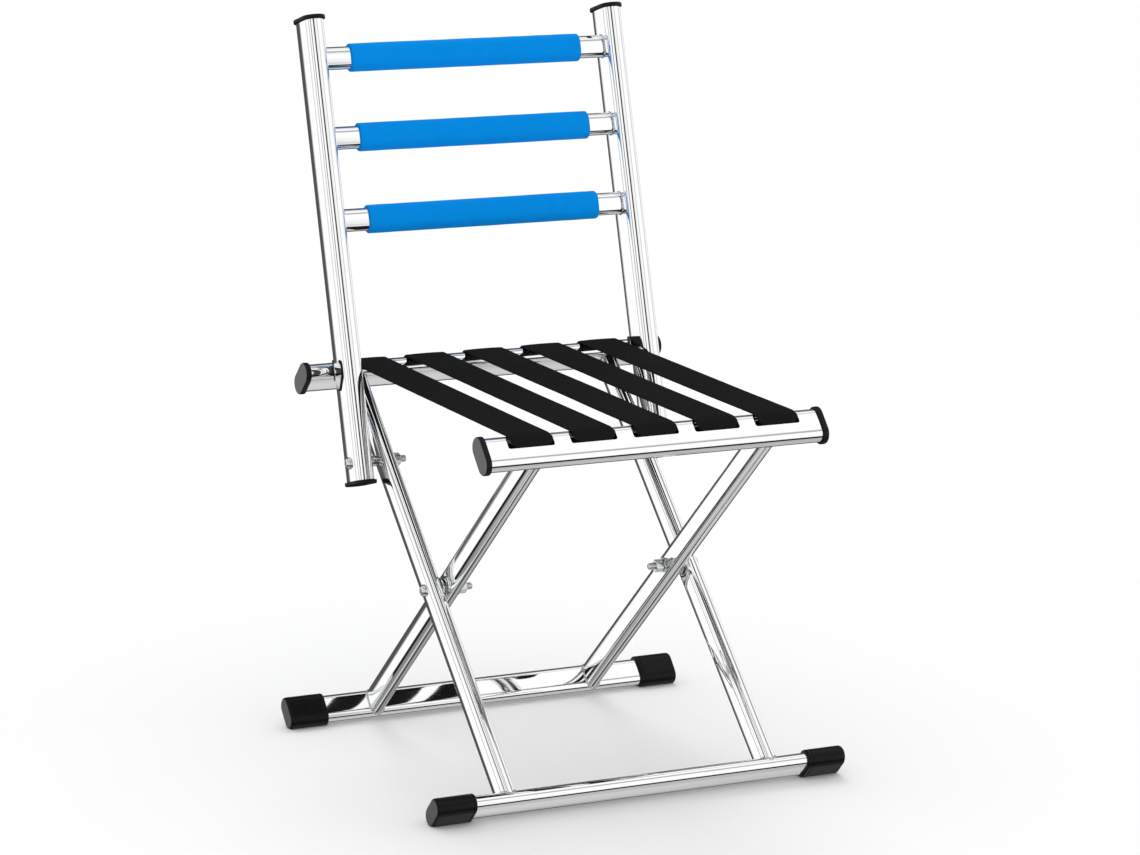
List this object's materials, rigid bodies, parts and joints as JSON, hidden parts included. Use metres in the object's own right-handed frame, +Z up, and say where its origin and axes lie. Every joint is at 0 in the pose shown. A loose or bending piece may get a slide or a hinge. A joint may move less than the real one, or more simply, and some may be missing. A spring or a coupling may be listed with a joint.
{
  "type": "folding stool with backrest",
  "caption": "Folding stool with a crossed-leg chromed frame, black webbing seat and a low ladder backrest with blue foam-covered bars.",
  "frame": {"origin": "on the floor, at the centre of the open stool's bounding box", "axes": "+Z up, +Y towards the back, +X to the right as seen from in front of the seat"},
  "size_m": [0.382, 0.4194, 0.6235],
  "materials": {
    "chrome": "mirror",
    "hardware": "satin",
    "plug": "matte",
    "rubber": "matte",
    "foam": "matte",
    "webbing": "woven"
  },
  "bodies": {
    "outer_frame": {"rear_seat_rail": "chrome", "front_foot_rail": "chrome", "outer_leg_left": "chrome", "outer_leg_right": "chrome", "rear_rail_plug_left": "plug", "rear_rail_plug_right": "plug", "front_foot_sleeve_left": "rubber", "front_foot_sleeve_right": "rubber", "pivot_bolt_left": "hardware", "pivot_bolt_right": "hardware", "pivot_nut_washer_left": "hardware", "pivot_nut_washer_right": "hardware", "pivot_nut_left": "hardware", "pivot_nut_right": "hardware", "pivot_washer_left": "hardware", "pivot_washer_right": "hardware", "backrest_bolt_left": "hardware", "backrest_bolt_right": "hardware", "backrest_nut_washer_left": "hardware", "backrest_nut_washer_right": "hardware", "backrest_nut_left": "hardware", "backrest_nut_right": "hardware", "backrest_spacer_left": "hardware", "backrest_spacer_right": "hardware", "seat_strap_1": "webbing", "seat_strap_2": "webbing", "seat_strap_3": "webbing", "seat_strap_4": "webbing", "seat_strap_5": "webbing"},
    "inner_frame": {"front_seat_rail": "chrome", "rear_foot_rail": "chrome", "inner_leg_left": "chrome", "inner_leg_right": "chrome", "front_rail_plug_left": "plug", "front_rail_plug_right": "plug", "rear_foot_sleeve_left": "rubber", "rear_foot_sleeve_right": "rubber"},
    "backrest": {"backrest_upright_left": "chrome", "backrest_upright_right": "chrome", "backrest_bar_1": "chrome", "backrest_bar_2": "chrome", "backrest_bar_3": "chrome", "backrest_sleeve_1": "foam", "backrest_sleeve_2": "foam", "backrest_sleeve_3": "foam", "upright_top_plug_left": "plug", "upright_top_plug_right": "plug", "upright_bottom_plug_left": "plug", "upright_bottom_plug_right": "plug", "backrest_stop_left": "rubber", "backrest_stop_right": "rubber"}
  },
  "joints": [
    {"name": "seat_fold", "type": "hinge", "parent": "outer_frame", "child": "inner_frame", "pos_m": [0, -0.02873, 0.15576], "axis": [-1, 0, 0], "range_deg": [0, 65], "deforming": ["seat_strap_1", "seat_strap_2", "seat_strap_3", "seat_strap_4", "seat_strap_5"]},
    {"name": "backrest_fold", "type": "hinge", "parent": "outer_frame", "child": "backrest", "pos_m": [0, 0.07734, 0.2458], "axis": [1, 0, 0], "range_deg": [0, 16]}
  ]
}
